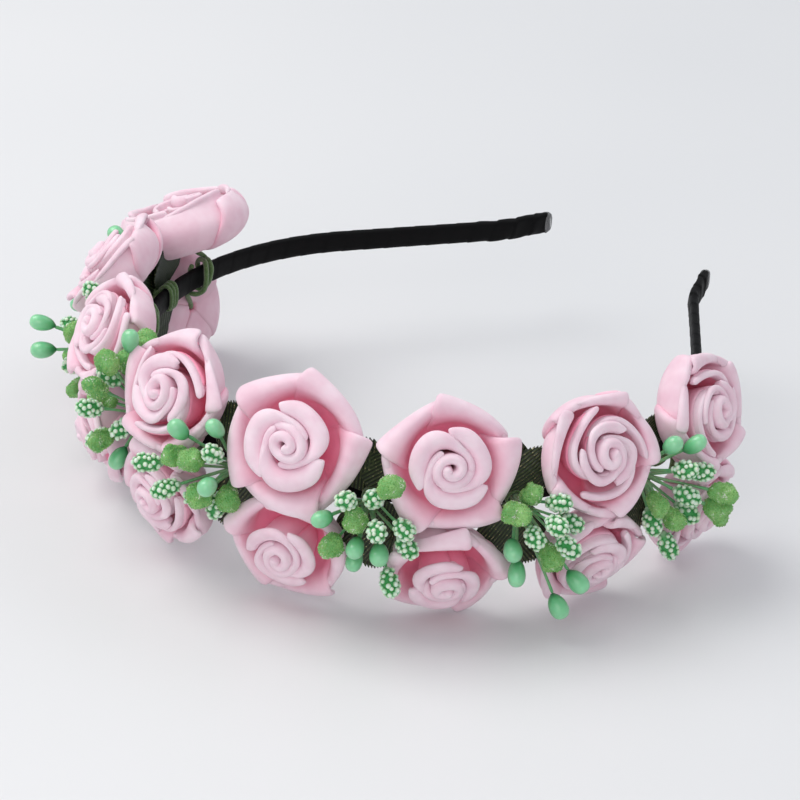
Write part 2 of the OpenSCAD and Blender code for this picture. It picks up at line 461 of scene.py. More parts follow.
def make_glue():
    paint = Paint("clear_glue", 0.12, Transmission_Weight=0.85, IOR=1.46)
    cloud = paint.grain(1200.0)
    paint.colour(paint.ramp(cloud, (0.3, (226, 228, 230)), (0.7, (246, 247, 248))))
    paint.bump(paint.grain(1800.0), 0.08, 0.6)
    return paint.material


def make_wire():
    paint = Paint("wrapped_wire", 0.85, Sheen_Weight=0.5)
    fibres = paint.grain(3800.0, 4.0, 0.7)
    paint.colour(paint.ramp(fibres, (0.3, (58, 88, 44)), (0.55, (92, 126, 70)), (0.75, (140, 168, 116))))
    paint.bump(fibres, 0.2, 1.0)
    return paint.material


def make_leaf():
    paint = Paint("leaf_ribbon", 0.45, Specular_IOR_Level=0.6)
    rib = paint.mark("rib")
    thread = paint.grain(5200.0, 2.0)
    # Painted light and shade: the ribs' crests are painted lighter as highlight and their troughs darker as
    # shade, and the sparse whitish-gold flecks on the crests are painted glints, also made metallic.
    base = paint.ramp(rib, (0.1, (3, 10, 3)), (0.55, (22, 42, 15)), (0.95, (74, 92, 46)))
    cloth = paint.mix(0.3, base, paint.ramp(thread, (0.4, (10, 22, 8)), (0.68, (60, 76, 40))))
    glint = paint.math("MULTIPLY", paint.grain(2600.0, 1.0), paint.math("POWER", rib, 4.0))
    glint = paint.ramp(glint, (0.5, (0, 0, 0)), (0.6, (255, 255, 255)))
    paint.colour(paint.mix(glint, cloth, (214, 200, 160)))
    paint.link(glint, paint.shader.inputs["Metallic"])
    paint.roughness(thread, 0.32, 0.6)
    paint.bump(thread, 0.06, 0.7)
    return paint.material


def make_stem():
    paint = Paint("pip_stem", 0.45, Subsurface_Weight=0.3, Subsurface_Scale=MM)
    rise = paint.mark("rise")
    base = paint.ramp(rise, (0.0, (172, 188, 160)), (0.6, (148, 190, 142)), (1.0, (100, 176, 118)))
    blotch = paint.ramp(paint.grain(1600.0), (0.35, (222, 232, 218)), (0.65, (255, 255, 255)))
    paint.colour(paint.mix(0.7, base, blotch, "MULTIPLY"))
    paint.bump(paint.grain(3200.0), 0.05, 0.5)
    return paint.material


def make_bud():
    paint = Paint(
        "pearl_bud", 0.3, Subsurface_Weight=0.15, Subsurface_Scale=MM,
        Coat_Weight=0.6, Coat_Roughness=0.16,
    )
    rise = paint.mark("rise")
    base = paint.ramp(
        rise, (0.0, (30, 104, 60)), (0.2, (84, 174, 112)), (0.5, (116, 202, 144)), (1.0, (150, 222, 172))
    )
    cloud = paint.ramp(paint.grain(260.0), (0.3, (214, 226, 216)), (0.7, (255, 255, 255)))
    paint.colour(paint.mix(0.8, base, cloud, "MULTIPLY"))
    paint.roughness(paint.grain(1500.0), 0.26, 0.4)
    paint.bump(paint.grain(1400.0), 0.03, 0.4)
    return paint.material


def make_sugar():
    paint = Paint("sugar_berry", 0.55, Subsurface_Weight=0.35, Subsurface_Scale=MM)
    cloud = paint.grain(240.0)
    cells = paint.node("ShaderNodeTexVoronoi", Scale=2600.0)
    paint.link(paint.place(), cells.inputs["Vector"])
    tone = paint.ramp(cloud, (0.3, (96, 168, 88)), (0.7, (152, 204, 124)))
    speck = paint.ramp(cells.outputs["Color"], (0.2, (176, 204, 166)), (0.8, (255, 255, 255)))
    paint.colour(paint.mix(0.5, tone, speck, "MULTIPLY"))
    paint.bump(cells.outputs["Distance"], 0.15, 0.9)
    return paint.material


def make_grain():
    paint = Paint("sugar_grain", 0.15, Transmission_Weight=0.25, IOR=1.5)
    cloud = paint.grain(700.0)
    # The greens are the grains' own tone; the near-white end of the ramp paints sparkle on random grains as
    # a painted highlight.
    tone = paint.ramp(cloud, (0.35, (110, 184, 94)), (0.55, (168, 216, 128)), (0.68, (244, 252, 234)))
    paint.colour(tone)
    return paint.material


def make_cone():
    paint = Paint("dotted_cone", 0.4)
    rise = paint.mark("rise")
    base = paint.ramp(rise, (0.0, (200, 220, 196)), (0.22, (78, 170, 96)), (1.0, (44, 152, 74)))
    cloud = paint.ramp(paint.grain(900.0), (0.3, (196, 220, 200)), (0.7, (255, 255, 255)))
    paint.colour(paint.mix(0.8, base, cloud, "MULTIPLY"))
    paint.bump(paint.grain(2400.0), 0.05, 0.5)
    return paint.material


def make_dot():
    paint = Paint("cone_dot", 0.35, Subsurface_Weight=0.2, Subsurface_Scale=MM)
    rise = paint.mark("rise")
    cloud = paint.ramp(paint.grain(1100.0), (0.3, (220, 236, 220)), (0.7, (255, 255, 255)))
    base = paint.ramp(rise, (0.25, (70, 160, 92)), (0.6, (178, 220, 180)), (0.9, (232, 244, 230)))
    paint.colour(paint.mix(0.8, base, cloud, "MULTIPLY"))
    paint.bump(paint.grain(2600.0), 0.04, 0.4)
    return paint.material


def make_table():
    paint = Paint("table_top", 0.45)
    cloud = paint.grain(3.0, 2.0)
    paint.colour(paint.ramp(cloud, (0.3, (222, 223, 225)), (0.7, (230, 230, 231))))
    return paint.material


foam, satin, steel, glue, wire_wrap = make_foam(), make_satin(), make_steel(), make_glue(), make_wire()
leaf_cloth, stem_skin, bud_skin = make_leaf(), make_stem(), make_bud()
sugar, sugar_grain, cone_skin, cone_dot = make_sugar(), make_grain(), make_cone(), make_dot()


# ---------------------------------------------------------------- band


def band_line(distance, side):
    """Middle line of the band at a distance from its front: the place and the way outward."""
    arc_len = MID_R * math.radians(ARC_HALF)
    bend_len = BEND_R * math.radians(FLARE_ANGLE)
    if distance <= arc_len:
        angle = math.degrees(distance / MID_R)
        place = MID_R * outward(angle)
    else:
        start = MID_R * outward(ARC_HALF) + ARM_STRAIGHT * along(ARC_HALF)
        centre = start + BEND_R * outward(ARC_HALF)
        past = distance - arc_len - ARM_STRAIGHT
        angle = ARC_HALF - FLARE_ANGLE * min(max(past / bend_len, 0), 1)
        if past < 0:
            place = start + past * along(ARC_HALF)
        else:
            place = centre - BEND_R * outward(angle) + max(past - bend_len, 0) * along(angle)
    flip = np.array([side, 1, 1])
    return place * flip, outward(angle) * flip


BAND_HALF_LEN = (
    MID_R * math.radians(ARC_HALF) + ARM_STRAIGHT + BEND_R * math.radians(FLARE_ANGLE) + FLARE_LEN
)


def make_ribbon(side, centre_node, arm_node):
    """Half of the wrapped ribbon, from the front to one tip."""
    wrap_pitch, step_h, sides = 5.4, 0.09, 30
    end = BAND_HALF_LEN + 1.2
    distance = np.arange(0, end, 0.4)
    turn = np.linspace(0, 2 * math.pi, sides, endpoint=False)
    shape = Shape()
    path, section = [], []
    for d in distance:
        place, _ = band_line(d, side)
        near_tip = smooth_step((d - BAND_HALF_LEN + 26) / 18)
        phase = (d / wrap_pitch + turn / (2 * math.pi)) % 1
        lift = (step_h + 0.2 * near_tip) * (1 - phase) ** 0.8 - 0.08
        lift += 0.1 * near_tip * np.sin(3 * turn + d * 0.9)
        close = math.sqrt(max(1 - max(d - BAND_HALF_LEN, 0) ** 2 / 2.2, 0.05))
        c, s = np.cos(turn), np.sin(turn)
        thick = (WRAP_T + lift) * np.sign(c) * np.abs(c) ** 0.7 * close
        high = (BAND_W / 2 + lift) * np.sign(s) * np.abs(s) ** 0.55 * close
        path.append(place)
        section.append(np.stack([thick, high], axis=1))
    sweep(
        shape, path, np.array(section), sides_up=np.array([0, 0, 1.0]),
        run=distance[:, None] + 0.3 * np.sin(turn)[None, :],
    )
    name = "ribbon_wrap_right" if side > 0 else "ribbon_wrap_left"
    piece = shape.make(name, satin, body=None)
    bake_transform(piece)
    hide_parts(centre_node, arm_node)


def make_seal(side, arm, node):
    """Clear drop of glue over the end of one tip."""
    sides, rings = 24, 12
    turn = np.linspace(0, 2 * math.pi, sides, endpoint=False)
    path, section = [], []
    for i in range(rings):
        t = i / (rings - 1)
        d = BAND_HALF_LEN - 0.9 + 2.85 * t
        place, _ = band_line(d, side)
        close = max(1 - abs(2 * t - 1) ** 3.2, 0.02) ** 0.5
        wave = 1 + 0.05 * np.sin(2 * turn + 3 * t)
        c, s = np.cos(turn), np.sin(turn)
        thick = 1.28 * np.sign(c) * np.abs(c) ** 0.75 * close * wave
        high = 2.78 * np.sign(s) * np.abs(s) ** 0.6 * close * wave
        path.append(place)
        section.append(np.stack([thick, high], axis=1))
    shape = Shape()
    sweep(shape, path, np.array(section), sides_up=np.array([0, 0, 1.0]))
    piece = shape.make("glue_" + node, glue, body=arm, subdivide=1)
    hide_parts(node)


# ---------------------------------------------------------------- roses


def turned(grid, angle):
    """A grid of points turned about +Z."""
    c, s = math.cos(math.radians(angle)), math.sin(math.radians(angle))
    return grid @ np.array([[c, -s, 0], [s, c, 0], [0, 0, 1]]).T


def outer_petal(shape, rim_r, middle, curl, opened, rng):
    """A petal that rises as a cup and folds outward at a crest, with one end over its neighbour."""
    rows, cols = 15, 13
    v = np.linspace(0, 1, rows)
    u = np.linspace(-1, 1, cols)[None, :]
    crest = rng.uniform(0.745, 0.785)
    fall = rng.uniform(0.6, 2.4)
    knots = [0, 0.22, 0.44, 0.62, 0.75, 0.87, 1]
    flared = np.array([
        (1.4, 0.9), (0.44 * rim_r, 1.0), (0.68 * rim_r, 2.9), ((crest - 0.035) * rim_r, 5.4),
        (crest * rim_r + 0.3, 7.2), ((crest + 0.09) * rim_r, 7.5), (0.93 * rim_r, 7.3 - fall),
    ])
    closed = np.array([
        (1.4, 0.7), (0.66 * rim_r, 1.0), (0.93 * rim_r, 3.6), (0.98 * rim_r, 6.4),
        (0.88 * rim_r, 9.0), (0.80 * rim_r, 10.6), (0.83 * rim_r, 11.8 - 0.3 * fall),
    ])
    radius, height = curve_through(knots, opened * flared + (1 - opened) * closed, v).T
    radius, height = radius[:, None], height[:, None]
    spread = np.radians(curve_through([0, 0.5, 1], [60, 54, 42], v))[:, None]
    reach = curve_through([0, 0.6, 0.8, 1], [0.3, 0.54, 0.59, 0.57], v)[:, None] * rim_r
    flat = rng.uniform(0.5, 0.72) * smooth_step((v - 0.4) / 0.35)[:, None] * (0.4 + 0.6 * opened)
    x = (1 - flat) * radius * np.cos(u * spread) + flat * radius
    y = (1 - flat) * radius * np.sin(u * spread) + flat * (u * reach)
    upper = smooth_step((v - 0.6) / 0.4)[:, None]
    lean = rng.uniform(-0.05, 0.05) * rim_r
    z = height + upper * (lean * u - rng.uniform(0.1, 1.0) * np.abs(u) ** 3)
    z = z + upper * rng.uniform(0.1, 0.35) * np.sin(2.2 * u + rng.uniform(0, 6))
    x = x + upper * rng.uniform(0.1, 0.25) * np.sin(3.1 * u + rng.uniform(0, 6))
    grid = np.stack(np.broadcast_arrays(x, y, z), axis=2)
    over = 1.1 * u * (0.25 + 0.75 * smooth_step((v - 0.2) / 0.5)[:, None])
    grid = grid + grid_normals(grid) * (rng.uniform(-0.15, 0.15) - curl * over)[:, :, None]
    thickness = (2.1 - 0.75 * smooth_step((v - 0.55) / 0.45))[:, None]
    # rise carries painted light and shade to the foam: deeper pink low on the inner face of the cup as
    # painted shade, the outer face and the upper flaps paler as painted light.
    rise = np.clip(1.25 * v - 0.12, 0, 1)[:, None]
    thick_sheet(shape, turned(grid, middle), thickness, rise=(0.8 + 0.2 * rise, rise))


def inner_petal(shape, rim_r, middle, curl, opened, rng, wide=1.0):
    """A petal of a ring round the bud: it winds outward over the next one and its lip arches over."""
    rows, cols = 17, 23
    v = np.linspace(0, 1, rows)
    u = np.linspace(-1, 1, cols)[None, :]
    crest = rng.uniform(11.2, 11.8) - 1.5 * (wide - 1) + (1 - opened) * rng.uniform(-0.8, 0.8)
    arch = opened if wide == 1 else 0.3 * opened
    knots = [0, 0.3, 0.55, 1]
    wall = [(1.4, 1.3), (0.25 * rim_r, 2.6), (0.315 * rim_r, crest - 3.2), (0.315 * rim_r, crest - 2.2)]
    radius, height = curve_through(knots, wall, np.minimum(v, 0.6) / 0.6).T
    spread = np.radians(curve_through([0, 0.5, 1], [56, 96, 106], v))[:, None] * (0.62 + 0.38 * opened)
    grow = curve_through([0, 0.4, 1], [0.3, 0.9, 1], v)[:, None] * (1.6 - 0.6 * opened)
    free = smooth_step((u + 0.6) / 0.8) * (1 - 0.3 * smooth_step((u - 0.7) / 0.3))
    lip = (0.02 + 0.1 * opened) * rim_r / wide**2 * (1 + 0.12 * np.sin(2.4 * u + rng.uniform(0, 6)))
    over = np.maximum(v - 0.6, 0)[:, None] / 0.4 * math.pi * (0.36 + 0.46 * free * arch)
    bend = u * spread
    corner = 1 + wide * rng.uniform(0.02, 0.05) * np.cos(3 * bend + rng.uniform(-0.8, 0.8)) * grow
    radius = radius[:, None] * wide * (1.08 + (0.05 + 0.21 * wide) * u * grow) * corner
    radius = radius + lip * (1 - np.cos(over)) * (0.3 + 0.7 * free)
    x = radius * np.cos(curl * bend)
    y = radius * np.sin(curl * bend)
    upper = smooth_step((v - 0.4) / 0.4)[:, None]
    z = height[:, None] + 2.2 * np.sin(over) - upper * 0.45 * (u + 1)
    grid = np.stack(np.broadcast_arrays(x, y, z), axis=2)
    thickness = (1.5 + 0.4 * opened - 0.35 * smooth_step((v - 0.6) / 0.4))[:, None]
    # rise carries painted light and shade to the foam: deeper pink low on the petal as painted shade, paler
    # toward the lip as painted light, and one face kept paler than the other.
    rise = np.clip(1.35 * v - 0.1, 0, 1)[:, None]
    thick_sheet(shape, turned(grid, middle), thickness, rise=(0.5 + 0.5 * rise, rise))


def rolled_bud(shape, curl, opened, rng):
    """The strip of foam rolled up in the middle of a rose."""
    rows, cols = 8, 26
    turns = 0.7 + opened + rng.uniform(-0.1, 0.1)
    v = np.linspace(0, 1, rows)[:, None]
    a = np.linspace(0, 1, cols)[None, :]
    radius = 0.72 + 1.98 * turns * a
    angle = curl * 2 * math.pi * turns * a + rng.uniform(0, 6.28)
    squeeze = rng.uniform(0.84, 0.94)
    radius = radius * (0.84 + 0.16 * v) + 0.25 * smooth_step((v - 0.75) / 0.25) * a
    stretch = rng.uniform(0, 3.14)
    x, y = radius * np.cos(angle) / squeeze, radius * np.sin(angle) * squeeze
    x, y = x * math.cos(stretch) - y * math.sin(stretch), x * math.sin(stretch) + y * math.cos(stretch)
    top = ROSE_H - 1.3 - 1.0 * a - 1.4 * (np.maximum(a - 0.8, 0) / 0.2) ** 2
    z = 3.0 + (top - 3.0) * v
    grid = np.stack(np.broadcast_arrays(x, y, z), axis=2)
    # rise carries painted shade to the foam: deeper pink at the foot of the rolled bud, paler toward its
    # top.
    thick_sheet(shape, grid, FOAM_ROLL_T, rise=0.25 + 0.75 * v)


def make_rose(row, i, level):
    """One foam rose: five outer petals, one or two rings of three inner ones and the rolled bud."""
    angle = GARLAND_TURN + (i - (PAIRS - 1) / 2) * PITCH_ANGLE
    place, axes = station(angle)
    side = row["side"]
    base = place + axes @ np.array([0, ROSE_OUT, side * row["base_z"][i]])
    tilt, turn = math.radians(row["tilt"][i]), math.radians(row["turn"][i])
    way = np.array([math.cos(tilt) * math.sin(turn), math.cos(tilt) * math.cos(turn), side * math.sin(tilt)])
    out = axes @ way
    up = np.array([0, 0, 1.0]) - out * out[2]
    up /= np.linalg.norm(up)
    frame_of = np.array([np.cross(up, out), up, out]).T
    rng = random.Random(100 * (2 + side) + i)
    rim_r, curl, spin = row["rim_r"][i], row["curl"][i], row["spin"][i]
    node = f"rose_{level}_{i + 1}"
    layers = {"outer_petals": Shape(), "inner_petals": Shape(), "bud": Shape()}
    for p in range(5):
        middle = spin + 36 + 72 * p + rng.uniform(-5, 5)
        outer_petal(layers["outer_petals"], rim_r, middle, curl, row["open"][i], rng)
    rings = [1.0, 1.5] if row["open"][i] < SECOND_RING_BELOW else [1.0]
    start = rng.uniform(0, 360)
    for n, wide in enumerate(rings):
        for p in range(3):
            middle = start + 120 * p + 55 * n + rng.uniform(-8, 8)
            inner_petal(layers["inner_petals"], rim_r, middle, curl, row["open"][i], rng, wide)
    rolled_bud(layers["bud"], curl, row["open"][i], rng)
    for layer, shape in layers.items():
        shape.points = [p @ frame_of.T + base for p in shape.points]
        piece = shape.make(f"{node}_{layer}", foam, subdivide=1)
        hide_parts(node)


# ---------------------------------------------------------------- wires round the band


def coil_round_band(angle, turns, first, slip, clear, radius):
    """Points of a wire wound round the band at a station; slip is its travel along the band."""
    place, axes = station(angle)
    steps = int(26 * turns)
    t = np.linspace(0, 1, steps)
    beta = np.radians(first) + 2 * math.pi * turns * t
    c, s = np.cos(beta), np.sin(beta)
    y = (WRAP_T + radius + clear) * np.sign(c) * np.abs(c) ** 0.8
    z = (BAND_W / 2 + radius + clear) * np.sign(s) * np.abs(s) ** 0.8
    return place, axes, np.stack([slip * (t - 0.5), y, z], axis=1)


def make_rose_wires():
    """Two paper-wrapped wires for each pair of roses, wound round the band across each other."""
    rng = random.Random(7)
    shape = Shape()
    for i in range(PAIRS):
        angle = GARLAND_TURN + (i - (PAIRS - 1) / 2) * PITCH_ANGLE
        for side, row in ((1, UPPER), (-1, LOWER)):
            slip = side * rng.uniform(5.0, 7.5)
            clear = 0.1 if side > 0 else 0.7
            place, axes, coil = coil_round_band(
                angle, rng.uniform(1.0, 1.3), 60, slip, clear, ROSE_WIRE_R,
            )
            coil[:, 2] *= side
            root = np.array([0, ROSE_OUT + 0.5, side * (row["base_z"][i] + 0.6)])
            leave, arrive = root + [0, -1.2, -side * 2.5], coil[0] + [0, 1.2, side * 1.8]
            lead = bezier(root, leave, arrive, coil[0], 9)[:-1]
            line = np.concatenate([lead, coil])
            line = line + 0.12 * np.sin(np.linspace(0, 25, len(line)))[:, None]
            thick = ROSE_WIRE_R + 0.06 * np.sin(np.arange(len(line)) * 1.9)
            section = ring(1.0, 10)[None, :, :] * thick[:, None, None]
            sweep(shape, line @ axes.T + place, section)
    piece = shape.make("rose_wire_windings", wire_wrap, subdivide=1)
    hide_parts("rose_wires")


def make_sprig_wires():
    """One thinner winding that ties each sprig to the band."""
    shape = Shape()
    for k in range(PAIRS - 1):
        angle = GARLAND_TURN + (k - (PAIRS - 2) / 2) * PITCH_ANGLE
        place, axes, coil = coil_round_band(angle, 2.6, 10, 3.6, 0.02, SPRIG_WIRE_R)
        sweep(shape, coil @ axes.T + place, ring(SPRIG_WIRE_R, 8))
    piece = shape.make("sprig_wire_windings", wire_wrap, subdivide=1)


# ---------------------------------------------------------------- sprigs


def pips_in(node, spread, reach_past_middle, nearer):
    """(middle, direction) of each pip in a CAD node, pointing away from the spread of the stems.

    Every second pip sits nearer to the spread, so that the bunch is full in the middle too.
    """
    mesh = bmesh.new()
    mesh.from_mesh(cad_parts[node].data)
    bmesh.ops.remove_doubles(mesh, verts=mesh.verts, dist=1e-6)
    mesh.verts.ensure_lookup_table()
    seen, found = set(), []
    for first in mesh.verts:
        if first.index in seen:
            continue
        seen.add(first.index)
        island, queue = [], [first]
        while queue:
            vert = queue.pop()
            island.append(vert)
            for edge in vert.link_edges:
                other = edge.other_vert(vert)
                if other.index not in seen:
                    seen.add(other.index)
                    queue.append(other)
        points = np.array([v.co for v in island]) / MM
        faces = {f for v in island for f in v.link_faces}
        areas = np.array([f.calc_area() for f in faces])
        middles = np.array([f.calc_center_median() for f in faces]) / MM
        middle = (areas[:, None] * middles).sum(0) / areas.sum()
        way = middle - spread
        way /= np.linalg.norm(way)
        far = ((points - spread) @ way).max()
        found.append((spread + way * (far - reach_past_middle), way))
    mesh.free()
    found.sort(key=lambda pip: tuple(np.round(pip[0], 3)))
    return [(middle - way * nearer * (n % 2), way) for n, (middle, way) in enumerate(found)]


def make_buds(k, pips, rng):
    """The pearly drops of a sprig."""
    shape = Shape()
    profile = [
        (0.4, -3.0), (0.5, -2.8), (1.0, -2.4), (1.55, -1.75), (1.9, -0.8), (2.08, 0.2),
        (2.05, 1.0), (1.85, 1.75), (1.45, 2.35), (0.95, 2.7), (0.4, 2.85),
    ]
    for middle, way in pips:
        points, faces = lathe(profile, 24)
        rise = (points[:, 2] + 3.0) / 5.85
        length, width = rng.uniform(0.95, 1.04), rng.uniform(0.9, 1.03)
        points = points * [width, width * rng.uniform(0.92, 1.0), length]
        points[:, 0] += 0.25 * np.sin(points[:, 2] * 0.5 + rng.uniform(0, 3))
        shape.add(points @ axes_on(way, rng.uniform(0, 6.28)).T + middle, faces, rise=rise)
    piece = shape.make(f"pearl_buds_{k}_drops", bud_skin, subdivide=1)
    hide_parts(f"pearl_buds_{k}")


def unit_ball(level):
    """Points and faces of a ball of radius 1."""
    ball = bmesh.new()
    bmesh.ops.create_icosphere(ball, subdivisions=level, radius=1.0)
    points = np.array([v.co for v in ball.verts])
    faces = [[v.index for v in f.verts] for f in ball.faces]
    ball.free()
    return points, faces


BALL_FINE, BALL_DOT = unit_ball(4), unit_ball(2)
CRYSTAL = (
    np.array([[1, 0, 0], [-1, 0, 0], [0, 1, 0], [0, -1, 0], [0, 0, 1.0], [0, 0, -1.0]]),
    [[0, 2, 4], [2, 1, 4], [1, 3, 4], [3, 0, 4], [2, 0, 5], [1, 2, 5], [3, 1, 5], [0, 3, 5]],
)


def even_directions(count, rng):
    """Directions spread evenly over a ball, each moved a little."""
    i = np.arange(count) + 0.5
    z = 1 - 2 * i / count
    turn = i * math.pi * (1 + math.sqrt(5))
    flat = np.sqrt(1 - z * z)
    points = np.stack([flat * np.cos(turn), flat * np.sin(turn), z], axis=1)
    points += np.array([[rng.uniform(-0.07, 0.07) for _ in range(3)] for _ in range(count)])
    return points / np.linalg.norm(points, axis=1, keepdims=True)


def berry_radius(direction, form, seed):
    """Distance from a berry's middle to its lumpy skin in a direction; the foot is at -Z."""
    x, y, z = direction
    radius = 2.8 + 0.6 * noise.noise(Vector(direction) * 1.3 + Vector((seed, 0, 0)))
    radius += 0.14 * noise.noise(Vector(direction) * 4.5 + Vector((0, seed, 0)))
    radius -= 0.5 * y * y
    if form == "pear":
        radius += 0.3 * z + 0.9 * max(-z, 0) ** 4 - 0.5 * (1 - z * z)
    if form == "heart":
        radius += 1.3 * abs(x) * max(z, 0) - 0.9 * max(z, 0) ** 5 * (1 - abs(x)) + 0.5 * max(-z, 0) ** 4
    return radius


GRAINS_PER_BERRY = 420


def make_berries(k, pips, rng):
    """The lumpy berries of a sprig and the sugar grains on them."""
    skin, grains = Shape(), Shape()
    for middle, way in pips:
        form = rng.choice(["round", "pear", "pear", "heart"])
        seed = rng.uniform(0, 90)
        axes = axes_on(way, rng.uniform(0, 6.28))
        reach = np.array([berry_radius(d, form, seed) for d in BALL_FINE[0]])
        points = BALL_FINE[0] * reach[:, None]
        skin.add(points @ axes.T + middle, BALL_FINE[1])
        for d in even_directions(GRAINS_PER_BERRY, rng):
            size = rng.uniform(0.13, 0.27)
            place = d * (berry_radius(d, form, seed) + 0.02)
            twist = axes_on(d + [rng.uniform(-0.5, 0.5) for _ in range(3)], rng.uniform(0, 6.28))
            crystal = (CRYSTAL[0] * [size, size * rng.uniform(0.6, 1), size * 0.8]) @ twist.T
            grains.add((crystal + place) @ axes.T + middle, CRYSTAL[1])
    piece = skin.make(f"sugar_berries_{k}_skin", sugar)
    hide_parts(f"sugar_berries_{k}")
    coat = grains.make(f"sugar_berries_{k}_grains", sugar_grain, smooth=False)


def make_cones(k, pips, rng):
    """The cones of a sprig with their rows of raised dots; the last dot sits on the tip."""
    body, dots = Shape(), Shape()
    profile = [
        (0.5, -3.4), (0.75, -3.1), (0.95, -2.5), (1.3, -1.7), (1.55, -0.8), (1.68, 0.1),
        (1.68, 0.9), (1.5, 1.7), (1.1, 2.4), (0.6, 2.8), (0.25, 2.9),
    ]
    heights = np.array([z for _, z in profile])
    radii = np.array([r for r, _ in profile])
    for middle, way in pips:
        axes = axes_on(way, rng.uniform(0, 6.28))
        points, faces = lathe(profile, 20)
        body.add(points @ axes.T + middle, faces, rise=(points[:, 2] + 3.4) / 6.3)
        rows = [(-2.1, 5), (-1.1, 7), (-0.1, 7), (0.9, 7), (1.8, 6), (2.5, 4), (2.95, 1)]
        for n, (level, count) in enumerate(rows):
            on_tip = count == 1
            for c in range(count):
                z = level if on_tip else level + rng.uniform(-0.22, 0.22)
                radius = 0 if on_tip else float(np.interp(z, heights, radii))
                turn = 2 * math.pi * (c + 0.5 * (n % 2)) / count + rng.uniform(-0.2, 0.2)
                size = rng.uniform(0.46, 0.63)
                lean = 9 if on_tip else 0.3 * z
                normal = np.array([math.cos(turn), math.sin(turn), lean])
                normal /= np.linalg.norm(normal)
                place = np.array([radius * math.cos(turn), radius * math.sin(turn), z])
                ball = BALL_DOT[0] * [size, size, size * 0.85]
                dots.add(
                    (ball @ axes_on(normal, 0).T + place + normal * 0.12) @ axes.T + middle,
                    BALL_DOT[1], rise=0.5 + 0.5 * BALL_DOT[0][:, 2],
                )
    piece = body.make(f"dotted_cones_{k}_core", cone_skin, subdivide=1)
    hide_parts(f"dotted_cones_{k}")
    dots.make(f"dotted_cones_{k}_dots", cone_dot)


def make_stems(k, place, axes, feet, rng):
    """One thin stem for each pip, bundled where they leave the band, and the thread round them."""
    shape = Shape()
    out = axes[:, 1]
    for n, (foot, way) in enumerate(feet):
        angle, far = 2.4 * n, 0.32 * math.sqrt(n + 0.5)
        offset = axes @ np.array([far * math.cos(angle), 0, far * math.sin(angle)])
        start = place + out * (WRAP_T + 0.1) + offset
        waist = place + out * (TIE_OUT - 0.6) + offset * 0.9
        line = np.concatenate([
            np.linspace(start, waist, 4)[:-1],
            bezier(waist, waist + out * 1.8, foot - way * 0.35 * np.linalg.norm(foot - waist), foot, 14),
        ])
        share = np.linspace(0, 1, len(line))
        thick = 0.36 + 0.05 * np.sin(share * 9 + n) + 0.12 * smooth_step((share - 0.9) / 0.1)
        section = ring(1.0, 8)[None, :, :] * thick[:, None, None]
        sweep(shape, line, section, rise=share[:, None])
    piece = shape.make(f"stems_{k}_stalks", stem_skin, subdivide=1)
    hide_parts(f"stems_{k}")
    tie = Shape()
    t = np.linspace(0, 1, 120)
    turn = 2 * math.pi * 6 * t
    radius = 0.32 * math.sqrt(len(feet)) + 0.62
    rise = WRAP_T + 0.6 + (TIE_OUT - WRAP_T - 0.9) * t
    coil = np.stack([radius * np.cos(turn), rise, radius * np.sin(turn)], axis=1)
    sweep(tie, coil @ axes.T + place, ring(0.3, 8))
    tie.make(f"stems_{k}_binding", wire_wrap)


def grid_area(grid):
    """Area of the cells of a grid of points."""
    a, b = grid[1:, :-1] - grid[:-1, :-1], grid[:-1, 1:] - grid[:-1, :-1]
    return float(np.linalg.norm(np.cross(a, b), axis=2).sum())


# Leaves of a sprig: bearing from straight up, layer and length
LEAVES = [(-24, 0, 12.5), (26, 1, 12), (167, 0, 16), (-171, 1, 15)]
LEAF_W = 12.0
LEAF_T = 0.32
RIB_PITCH = 0.75
# How far the upper leaves of each sprig are fanned out
LEAF_FAN = [1.0, 1.4, 1, 1, 1, 1, 0.9]


def make_leaves(k, place, axes, rng):
    """Four leaves cut from ribbed ribbon, each with a zigzag end; cut_area leaves out ribs and cup."""
    for n, (bearing, layer, length) in enumerate(LEAVES):
        rows, cols = 65, 65
        v = np.linspace(0, 1, rows)[:, None]
        u = np.linspace(-1, 1, cols)[None, :]
        half_w = LEAF_W / 2 * curve_through([0, 0.35, 0.7, 1], [0.3, 0.85, 1.0, 0.86], v.ravel())[:, None]
        x = u * half_w
        slant = rng.uniform(-0.45, 0.45)
        tooth = np.abs((np.arange(cols)[None, :] / 4 % 1) - 0.5) * 2
        end = length - 0.7 * tooth - 2.6 * np.abs(u + slant) ** 2.5
        y = v * end
        ribs = np.cos(2 * math.pi * (x * 0.9 + y * 0.44 * (1 if slant > 0 else -1)) / RIB_PITCH)
        cup = rng.uniform(0.3, 0.9) * (1 - (x / (LEAF_W / 2)) ** 2)
        arch = rng.uniform(-0.2, 0.9) * v**2 + 0.25 * np.sin(5 * v + rng.uniform(0, 6))
        z = cup + arch + 0.09 * ribs
        grid = np.stack(np.broadcast_arrays(x, z, y), axis=2)
        cut_area = grid_area(np.stack(np.broadcast_arrays(x, 0 * z, y), axis=2))
        fan = LEAF_FAN[k - 1] if abs(bearing) < 90 else 1
        turn = math.radians(bearing * fan + rng.uniform(-4, 4))
        c, s = math.cos(turn), math.sin(turn)
        tilt = np.array([[c, 0, s], [0, 1, 0], [-s, 0, c]])
        grid = (grid + [0, 0, 1.2]) @ tilt.T + [0, 1.75 + 0.8 * layer, 0]
        grid = grid @ axes.T + place
        shape = Shape()
        # rib carries the ribs' phase; the leaf material paints highlight on the crests and shade in the
        # troughs from it.
        thick_sheet(shape, grid, LEAF_T, rib=0.5 + 0.5 * ribs)
        piece = shape.make(f"leaf_{k}_{'abcd'[n]}", leaf_cloth)
    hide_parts(f"leaves_{k}")


